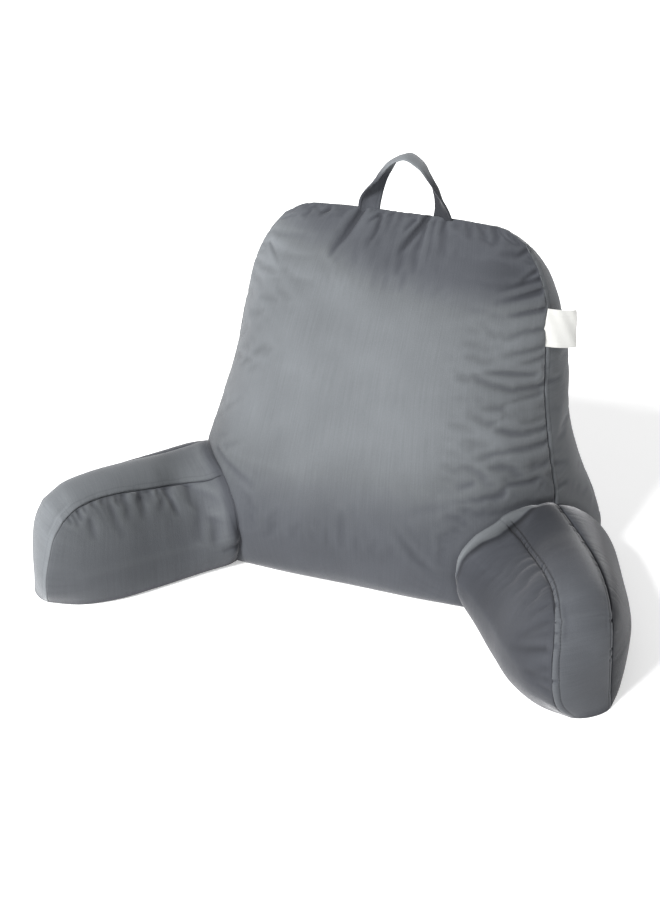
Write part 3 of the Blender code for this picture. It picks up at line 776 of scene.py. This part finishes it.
def arm_panels(side):
    """The inner and outer panels of an arm, in place, with their roots still inside the back."""

    def panel(bottom, top, rear, front, crown, out, fuller=0):
        edges = [[(x, side * y, z) for x, y, z in edge] for edge in (bottom, top, rear, front)]
        out = (0, side * out, 0.3)
        grid = panel_grid(*edges, crown, out, ARM_CELLS, side_fade=3, fuller=fuller)
        return placed(grid, arm_place(side))

    top = INNER_TOP if side > 0 else LEFT_TOP_START + INNER_TOP[3:]
    inner = panel(INNER_BOTTOM, top, INNER_REAR[:-1] + top[:1], INNER_FRONT, INNER_CROWN, -1)
    outer = panel(OUTER_BOTTOM, OUTER_TOP, OUTER_REAR, OUTER_FRONT, OUTER_CROWN, 1, fuller=0.6)
    return inner, outer


def seen_from_root(own, side):
    """Each point's angle round the arm's end, up from straight inwards, and the way out from it."""
    inwards, up = -own[:, 1] * side, own[:, 2] - ROOT_MIDDLE
    outwards = unit(np.stack([0 * up, -inwards * side, up], axis=1))
    return np.degrees(np.arctan2(up, inwards)), outwards


def let_out(points, tree, side):
    """The points near the back moved out to the line along which the arm is sewn to it."""
    shape = points.shape
    points = points.reshape(-1, 3)
    own = in_arm(points, side)
    angle, outwards = seen_from_root(own, side)
    outwards[:, 2] *= ramp(own[:, 2], 0, 0.03)
    shift = np.interp(angle, *np.transpose(LET_OUT[side])) * MM
    distance = np.array([max(outside(tree, p), 0) for p in points])
    shift *= np.exp(-((distance / LET_OUT_REACH) ** 2))
    return placed(own + outwards * shift[:, None], arm_place(side)).reshape(shape)


def arm_pattern(side, tree):
    """The inner panel, outer panel and strip of an arm, cut off where they meet the back."""
    spread = closer_at_ends(ARM_CELLS.across)
    share = closer_at_ends(ARM_CELLS.deep)[1:-1, None, None]
    panels = [let_out(panel, tree, side) for panel in arm_panels(side)]
    inner, outer = (np.array([leave(tree, row, spread) for row in panel]) for panel in panels)
    strip = strip_between(inner, outer, TOP_BAND_CROWN, ARM_CELLS)
    # The strip's edges are let out already, with the panels.
    seams = [np.array(rim(panel)) for panel in (inner, outer)]
    near_seam, far_seam = (let_out(seam, tree, side) - seam for seam in seams)
    strip = let_out(strip, tree, side) - (1 - share) * near_seam - share * far_seam
    across, up = ARM_CELLS.across, ARM_CELLS.up
    top_corner = 2 * across + up
    for row in strip:
        low_shift = onto(tree, row[:1])[0] - row[0]
        high_shift = onto(tree, row[top_corner : top_corner + 1])[0] - row[top_corner]
        row[:across] += np.outer((1 - spread[:-1]) ** 8, low_shift)
        row[across + up : top_corner] += np.outer(((1 - spread) ** 8)[:0:-1], high_shift)
        row[top_corner:] = onto(tree, row[top_corner:])
    return inner, outer, strip


def root_of(inner, outer, strip):
    """The line along which an arm is sewn to the back: up inside, over the top and down outside."""
    over = strip[:, 2 * ARM_CELLS.across + ARM_CELLS.up]
    line = np.vstack([inner[:, 0], over, outer[::-1, 0]])
    return along_line(line, np.arange(0, lengths(line)[-1], 0.5 * MM))


def make_arm(name, side, folds, tree):
    pattern = arm_pattern(side, tree)
    root = tree_of(root_of(*pattern))
    piece = cloth_body(name, *pattern, ARM_CELLS)
    own = lambda: in_arm(places(piece), side)
    gap = gaps(tree, piece)
    width, depth, fine_depth, ridge = FOLDING[side]
    press_folds(piece, own()[:, [0, 2]], folds, width, depth, ridge)
    points = own()
    held = np.maximum(held_by_seams(piece, points), np.clip(1.4 - gap / 0.006, 0, 1))
    on_inner = (marks(piece, "panel") > 0) * ramp(points[:, 2], 0, 0.06)
    fill(piece, held, 0.1 + 0.2 * on_inner, 0.6 * SWELL_CAP)
    subdivide(piece)
    press_folds(piece, own()[:, [0, 2]], folds, width=0.7, depth=fine_depth, ridge=0)
    gap = gaps(tree, piece)
    sew(piece, reach=1.8, still=1 - fade(gap, 0.002, 0.012))
    shape_root(piece, gap, root, side)
    ease_bend(piece, pattern[2][:, ARM_CELLS.across + ARM_CELLS.up])
    return piece


def lip_width(angle):
    """How wide the roll is that lies along an arm's seam with the back."""
    return 0.004 + 0.011 * fade(angle, -5, 35) * (1 - 0.75 * fade(angle, 50, 90))


def shape_root(piece, gap, root, side):
    """Turn the arm's end over into its seam with the back, with a roll and then a valley inside."""
    points = places(piece)
    angle, _ = seen_from_root(in_arm(points, side), side)
    distance = distances(root, points)
    put_marks(piece, "root", distance)
    rolled = fade(angle, -20, 10) * (1 - 0.65 * fade(angle, 50, 75)) * (1 - fade(angle, 90, 115))
    width = lip_width(angle)
    lip, dip = (0.0012, 0.23 * width) if side > 0 else (0, 0.08 * width)
    away = distance / width
    change = (lip * hump(away, 0.5, 0.45) - dip * hump(away, 1.35, 0.45)) * rolled
    change -= 0.0006 * hump(distance, 0.0008, 0.0012)
    change *= ramp(points[:, 2], 0, 0.03) * np.clip(gap / 0.0008 - 0.4, 0, 1)
    push(piece, change)


def ease_bend(piece, bend):
    """Round the arm's band off at its bend, the line where it turns down to the arm's front."""
    distance = distances(tree_of(np.vstack([bend, (bend[1:] + bend[:-1]) / 2])), places(piece))
    share = (1 - fade(distance, 0.014, 0.032)) * fade(from_rim(piece), 0.008, 0.014)
    push(piece, hollows_of(piece, 60) * share * (marks(piece, "panel") == 0))


# ---- The handle and the label ----------------------------------------------
def strip_of_cloth(name, middle, across, thick, size, cells, creases, wave):
    """A closed strip along a line of middles. across and thick are unit vectors at each middle.

    size is its width and thickness, and cells how many it has round it. creases gives, at each
    middle, the angle in degrees that each half is turned down by along a lengthwise fold, and the
    fold's place from -1 to 1 across the width. The wave is how far the strip ripples.
    """
    width, thickness = size
    mesh = bmesh.new()
    flat = mesh.loops.layers.uv.new("flat")
    angles = np.linspace(0, 2 * math.pi, cells, endpoint=False)
    wide = np.sign(np.cos(angles)) * np.abs(np.cos(angles)) ** 0.55
    high = np.sign(np.sin(angles)) * np.abs(np.sin(angles)) ** 0.75 / 2
    # A stitched hem stands up along both edges, with a groove inside it.
    off = np.abs(wide)
    high = high * (1 + 0.30 * hump(off, 0.86, 0.10) - 0.30 * hump(off, 0.70, 0.05))
    run = lengths(middle)
    shares = np.linspace(-1, 1, 81)
    rings = []
    for centre, a, t, (angle, place), length in zip(middle, across, thick, creases, run):
        turn = -np.radians(angle) * np.tanh((shares - place) / 0.22)
        over = np.cumsum(np.cos(turn)) * width / 80
        rise = np.cumsum(np.sin(turn)) * width / 80
        over, rise = over - np.interp(0, shares, over), rise - rise.mean()
        rise = rise + wave * np.sin(shares * 4 + length * 180) * np.sin(length * 95 + 1)
        lean = np.interp(wide, shares, turn)
        x = np.interp(wide, shares, over) - high * thickness * np.sin(lean)
        y = np.interp(wide, shares, rise) + high * thickness * np.cos(lean)
        rings.append([mesh.verts.new(p) for p in centre + np.outer(x, a) + np.outer(y, t)])
    around = np.linspace(0, 2 * width, cells + 1)
    for j in range(len(rings) - 1):
        for i in range(cells):
            k = (i + 1) % cells
            corners = (rings[j][i], rings[j][k], rings[j + 1][k], rings[j + 1][i])
            face = mesh.faces.new(corners)
            for loop, (a, b) in zip(face.loops, ((i, j), (i + 1, j), (i + 1, j + 1), (i, j + 1))):
                loop[flat].uv = (around[a], run[b])
    mesh.faces.new(rings[0])
    mesh.faces.new(rings[-1])
    bmesh.ops.recalc_face_normals(mesh, faces=mesh.faces)
    piece = as_piece(name, mesh)
    piece.data.transform(Matrix.Translation(PATTERN_SHIFT))
    return piece


def make_handle():
    """A strap that stands in the top seam on both ends and turns flat side up at its arch's top.

    Each leg is doubled over lengthwise where it turns, as a soft strap is.
    """
    half = [(x, HANDLE_LINE_Y, TOP_SEAM_HEIGHT + z) for x, z in HANDLE_HALF]
    shares = np.linspace(0, 1, 121)
    middle = smooth_curve(whole_width(half, from_middle=False), shares)
    along = unit(np.gradient(middle, axis=0))
    turn = (math.pi / 2) * np.sin(math.pi * shares) ** 0.9
    flat_to_front = unit(np.cross(along, np.cross((0, -1, 0), along)))
    sideways = np.cross(along, flat_to_front)
    across = unit(sideways * np.cos(turn)[:, None] - flat_to_front * np.sin(turn)[:, None])
    legs = LEFT_LEG_BEND * hump(shares, 0.25, 0.13) + RIGHT_LEG_BEND * hump(shares, 0.80, 0.11)
    place = np.interp(shares, (0, 0.25, 0.5, 0.8, 1), (-0.6, 0.1, 0.0, 0.1, 0.4))
    creases = np.stack([legs + STRAP_BEND, place], axis=1)
    size = HANDLE_WIDTH, HANDLE_THICKNESS
    thick = np.cross(along, across)
    return strip_of_cloth("strap_handle", middle, across, thick, size, 64, creases, wave=0.0003)


def make_label():
    """A folded piece of tape, one edge in the side seam, lying outwards over the side band."""
    steps = np.linspace(0, 1, 41)
    heading = np.radians(LABEL_HEADING + LABEL_CURL * steps)
    run = np.c_[np.cos(heading), np.sin(heading), 0 * steps - LABEL_DROOP] * LABEL_WIDTH / 40
    middle = np.array(LABEL_PLACE) + np.cumsum(run, axis=0) - run[0]
    along = unit(run)
    up = np.tile(np.array([LABEL_LEAN]), (len(steps), 1))
    up = unit(up - along * np.sum(up * along, axis=1)[:, None])
    creases = np.tile((3.0, 0.1), (len(steps), 1))
    size = LABEL_HEIGHT, LABEL_THICKNESS
    thick = np.cross(along, up)
    return strip_of_cloth("side_tape", middle, up, thick, size, 96, creases, wave=0.0008)


# ---- Painted light and shade -----------------------------------------------
# The painted lighting is how light the velvet comes out, from 0 to about 1.3: painted light and
# shade for how the lamps fall on each part.
def painted_lighting_of_back(points, panel):
    """Painted light in the middle of the front and painted shade towards its top and foot; and how
    deep the painted shade in its folds is.
    """
    x, height = points[:, 0], points[:, 2] + 0.012 * ripple(points, 0.11, 7)
    below_top = 1 - fade(height + 0.36 * np.minimum(x, 0), 0.345, 0.415)
    front = 0.44 + 0.54 * fade(height, 0.06, 0.24) * below_top
    painted_lighting = np.where(panel > 0, front * (1 - 0.12 * fade(x, 0.02, 0.20)), 0.70)
    return painted_lighting, 0.22 + 0.12 * fade(height, 0.36, 0.41)


def painted_lighting_of_right_arm(points, panel, root):
    """Painted shade, with a painted highlight on the roll along the seam with the back."""
    own, height = in_arm(points, 1), points[:, 2]
    inner = 0.26 + 0.07 * fade(height, 0.06, 0.10)
    band = 0.22 + 0.31 * fade(own[:, 0], 0.22, 0.42)
    outer = 0.32 - 0.13 * fade(own[:, 0], 0.10, 0.35)
    painted_lighting = np.where(panel > 0, inner, np.where(panel < 0, outer, band))
    angle, _ = seen_from_root(own, 1)
    width = lip_width(angle)
    # A painted highlight on the roll beside the seam with the back, and a thin line of painted
    # shade in the valley inside it.
    lip = 1 - fade(root, width - 0.0015, width + 0.0015)
    lip = lip * fade(angle, -15, 5) * (1 - fade(angle, 80, 100))
    lip = 0.50 * lip * fade(height, 0.02, 0.08)
    return painted_lighting + lip - 0.08 * hump(root, width + 0.003, 0.003)


def painted_lighting_of_left_arm(points, panel, root):
    """Painted lighter, most of all on the band's front, with painted shade in its seam with the
    back.
    """
    inner = 0.60 + 0.10 * fade(points[:, 2], 0.04, 0.11)
    band = 0.70 + 0.42 * fade(in_arm(points, -1)[:, 0], 0.18, 0.36)
    painted_lighting = np.where(panel > 0, inner, np.where(panel < 0, 0.4, band))
    # Painted shade along the seam with the back, fading out by 20 mm.
    return painted_lighting - 0.34 * (1 - fade(root, 0.004, 0.020))


def painted_lighting_of_handle(points):
    """Painted shade at its feet and a painted highlight on top of its arch."""
    rise = (points[:, 2] - TOP_SEAM_HEIGHT) / HANDLE_RISE
    foot = np.where(points[:, 0] > 0, 0.20, 0.42)
    return foot + (1.35 - foot) * fade(rise, 0.55, 0.9)


def painted_lighting_of(piece):
    """The painted lighting at each vertex. A cushion gets painted shade in its hollows and near the
    floor, and a painted highlight on the ridges of its folds.
    """
    points = places(piece)
    if piece.name == "strap_handle":
        return painted_lighting_of_handle(points)
    panel, fold_shade = marks(piece, "panel"), 0.34
    if piece.name == "velvet_back":
        painted_lighting, fold_shade = painted_lighting_of_back(points, panel)
    elif piece.name == "velvet_arm_right":
        painted_lighting = painted_lighting_of_right_arm(points, panel, marks(piece, "root"))
    else:
        painted_lighting = painted_lighting_of_left_arm(points, panel, marks(piece, "root"))
    # Painted shade near the floor, fading out by 15 mm up.
    painted_lighting = painted_lighting * (0.6 + 0.4 * fade(points[:, 2], 0, 0.015))
    # Painted shade in the hollows of folds and of the smaller puckers, and a painted highlight on
    # their ridges.
    folds, puckers = hollows_of(piece, 14) / 0.0013, hollows_of(piece, 3) / 0.0006
    return painted_lighting * (1 - fold_shade * np.clip(folds, -0.5, 1)) * (1 - 0.12 * np.clip(puckers, -0.3, 1))


# ---- Materials -------------------------------------------------------------
def material_of(name, base, **settings):
    """A new material with its colour and the shader's settings, and its shader."""
    made = bpy.data.materials.new(name)
    made.use_nodes = True
    shader = made.node_tree.nodes["Principled BSDF"]
    shader.inputs["Base Color"].default_value = colour_of(base)
    for setting, value in settings.items():
        shader.inputs[setting.replace("_", " ")].default_value = value
    return made, shader


def velvet(name, base):
    """Short-pile polyester velvet: a soft dark face whose pile has a pale sheen seen from the side.

    The pile is 1.5 mm deep and lies over in brushed patches a hand wide, which come out lighter or
    darker. It parts into a thin dark line at each seam, and a row of topstitching runs beside the
    seam on the strip.
    """
    made, shader = material_of(
        name, base, Roughness=0.85, Specular_IOR_Level=0.25,
        Sheen_Weight=0.35, Sheen_Roughness=0.35, Sheen_Tint=colour_of(0xE0E0E2),
    )
    place = add_node(made, "ShaderNodeTexCoord", output="Object")
    flat = add_node(made, "ShaderNodeUVMap", uv_map="flat")
    # The first mark is painted light and shade, which the velvet's colour is multiplied by.
    painted_lighting, seam, sewn, stitched = (
        add_node(made, "ShaderNodeAttribute", output="Fac", attribute_name=mark)
        for mark in ("painted_lighting", "seam", "sewn", "stitched")
    )

    def noise_at(vector, size, detail, stretch=(1, 1, 1)):
        """Noise whose lumps are this size in metres, drawn out where the stretch is below 1."""
        scale = ("Scale", [k / size for k in stretch])
        mapped = add_node(made, "ShaderNodeMapping", ("Vector", vector), scale)
        settings = ("Scale", 1.0), ("Detail", detail)
        return add_node(made, "ShaderNodeTexNoise", ("Vector", mapped), *settings)

    def product(first, *others):
        for other in others:
            first = add_node(made, "ShaderNodeMath", (0, first), (1, other), operation="MULTIPLY")
        return first

    def line_at(distance, middle, half):
        """1 on a thin line at this distance from a seam, 0 beyond its half width."""
        off = add_node(made, "ShaderNodeMath", (0, distance), (1, middle), operation="SUBTRACT")
        away = add_node(made, "ShaderNodeMath", (0, off), operation="ABSOLUTE")
        return add_node(
            made, "ShaderNodeMapRange", (0, away), (1, 0.4 * half), (2, half), (3, 1.0), (4, 0.0)
        )

    brushed = noise_at(place, 0.090, 2.0)
    # Rows of pile along the cloth, 0.8 mm apart in the real one and 2 mm here, so that they show.
    rows = noise_at(flat, 0.002, 1.0, (1, 0.03, 1))
    # Tufts of pile, 0.4 mm across in the real one and 1.1 mm here.
    tufts = noise_at(place, 0.0011, 2.0)
    # Stitches of 3.8 mm with a thread 0.4 mm thick, drawn 1 mm thick so that they show.
    along = add_node(made, "ShaderNodeSeparateXYZ", (0, flat))
    step = add_node(made, "ShaderNodeMath", (0, along), (1, STITCH_STEP), operation="MODULO")
    thread = line_at(step, STITCH_STEP / 2, 0.0016)
    thread = product(thread, line_at(seam, STITCH_LINE, 0.0010), stitched)
    groove = product(line_at(seam, STITCH_LINE, DRAWN_LINE), stitched)
    parting = product(line_at(seam, 0.0, DRAWN_LINE), sewn)
    # This starts from the painted light and shade and takes the cloth's own patches, rows, tufts
    # and seam lines on top.
    painted_light_and_tone = painted_lighting
    # Each layer, its range, and what it multiplies the painted light and tone by at the two ends of
    # that range.
    for layer, low, high, at_low, at_high in (
        (brushed, 0.3, 0.7, 0.90, 1.10),
        (rows, 0.3, 0.7, 0.955, 1.045),
        (tufts, 0.25, 0.75, 0.93, 1.07),
        (parting, 0.0, 1.0, 1.0, 0.45),
        (groove, 0.0, 1.0, 1.0, 0.60),
        (thread, 0.0, 1.0, 1.0, 0.75),
    ):
        settings = (1, low), (2, high), (3, at_low), (4, at_high)
        painted_light_and_tone = product(painted_light_and_tone, add_node(made, "ShaderNodeMapRange", (0, layer), *settings))
    # Where the painted light is darkest, the dye is mixed bluer, as painted shade.
    lit = add_node(made, "ShaderNodeMapRange", (0, painted_lighting), (1, 0.3), (2, 0.8))
    shade_and_base_colours = (6, colour_of(0x5A5D65)), (7, colour_of(base))
    shade_tinted_colour = add_node(made, "ShaderNodeMix", (0, lit), *shade_and_base_colours, output=2, data_type="RGBA")
    colour = add_node(
        made, "ShaderNodeMix", (0, 1.0), (6, shade_tinted_colour), (7, painted_light_and_tone),
        output=2, data_type="RGBA", blend_type="MULTIPLY",
    )
    tuft_size = ("Strength", 0.5), ("Distance", 0.0006)
    bump = add_node(made, "ShaderNodeBump", ("Height", tufts), *tuft_size)
    made.node_tree.links.new(colour, shader.inputs["Base Color"])
    made.node_tree.links.new(bump, shader.inputs["Normal"])
    return made


def woven_tape():
    """White polyester satin tape: close flat threads with a faint rib across it."""
    made, shader = material_of("white_woven_tape", 0xB8B8B5, Roughness=0.6)
    flat = ("Vector", add_node(made, "ShaderNodeUVMap", uv_map="flat"))
    # Threads 0.5 mm apart.
    scale = ("Scale", 320.0)
    rib = add_node(made, "ShaderNodeTexWave", flat, scale, output="Fac", bands_direction="Y")
    rib_size = ("Strength", 0.3), ("Distance", 0.0002)
    bump = add_node(made, "ShaderNodeBump", ("Height", rib), *rib_size)
    made.node_tree.links.new(bump, shader.inputs["Normal"])
    return made


# ---- Studio ----------------------------------------------------------------
def way_to(azimuth, elevation):
    """The way from the pillow to a place. Azimuth 0 is straight in front, and 90 at +X."""
    a, e = math.radians(azimuth), math.radians(elevation)
    return Vector((math.sin(a) * math.cos(e), -math.cos(a) * math.cos(e), math.sin(e)))


def face_pillow(made, name, way):
    """Name a camera or a lamp and turn it to look back along this way."""
    made.name = name
    made.rotation_mode = "QUATERNION"
    made.rotation_quaternion = (-way).to_track_quat("-Z", "Y")
    return made


def add_camera():
    """The photograph's view: from the front, from the pillow's right and from above."""
    way = way_to(21.62, 27.01)
    bpy.ops.object.camera_add(location=Vector((-0.073, 0.0797, 0.136)) + way * 2.5)
    camera = face_pillow(bpy.context.object, "camera", way)
    camera.data.lens = 73.2
    camera.data.sensor_width = 36.0
    bpy.context.scene.camera = camera


def add_sun(name, azimuth, elevation, power, disc):
    """A sun whose disc is this many degrees wide. The wider it is, the softer its shadows."""
    way = way_to(azimuth, elevation)
    bpy.ops.object.light_add(type="SUN", location=Vector((0, 0.05, 0.2)) + way * 2.5)
    sun = face_pillow(bpy.context.object, name, way)
    sun.data.energy = power
    sun.data.angle = math.radians(disc)


def add_floor():
    """White paper on a light table, which keeps the shadows pale."""
    bpy.ops.mesh.primitive_plane_add(size=30)
    floor = bpy.context.object
    floor.name = "floor"
    glow = {"Emission_Color": (1, 1, 1, 1), "Emission_Strength": 0.42}
    paper, _ = material_of("pale_paper_floor", 0xFAFAFA, Roughness=0.95, **glow)
    floor.data.materials.append(paper)


def add_studio():
    add_floor()
    add_camera()
    add_sun("key", azimuth=-24, elevation=36, power=6.2, disc=14)
    add_sun("overhead", azimuth=180, elevation=70, power=0.5, disc=90)
    world = bpy.data.worlds.new("studio")
    world.use_nodes = True
    world.node_tree.nodes["Background"].inputs["Color"].default_value = (1, 1, 1, 1)
    world.node_tree.nodes["Background"].inputs["Strength"].default_value = 0.35
    bpy.context.scene.world = world
    bpy.context.scene.view_settings.view_transform = "Standard"


def main():
    bpy.ops.object.select_all(action="DESELECT")
    grey = velvet("smoke_grey_velvet", 0x5B5E61)
    tape = woven_tape()
    back = make_back()
    bare = surface_of(back)
    for side in (1, -1):
        dent_along(back, root_of(*arm_pattern(side, bare)))
    tree = surface_of(back)
    right = make_arm("velvet_arm_right", 1, RIGHT_ARM_FOLDS, tree)
    left = make_arm("velvet_arm_left", -1, LEFT_ARM_FOLDS, tree)
    handle = make_handle()
    label = make_label()
    for piece, fill_share, clear in ((back, 0.8, 0), (right, 0.75, 0.010), (left, 0.75, 0.002)):
        mark_seams(piece, clear)
    nodes = {back: "back_cushion", right: "arm_right", left: "arm_left", handle: "carry_handle"}
    for piece, node in nodes.items():
        # Painted light and shade, kept as a mark that the velvet's colour is multiplied by.
        put_marks(piece, "painted_lighting", painted_lighting_of(piece))
        piece.data.materials.append(grey)
        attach(piece, "root")
        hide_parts(node)
    label.data.materials.append(tape)
    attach(label, "root")
    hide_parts("side_label")
    add_studio()


main()
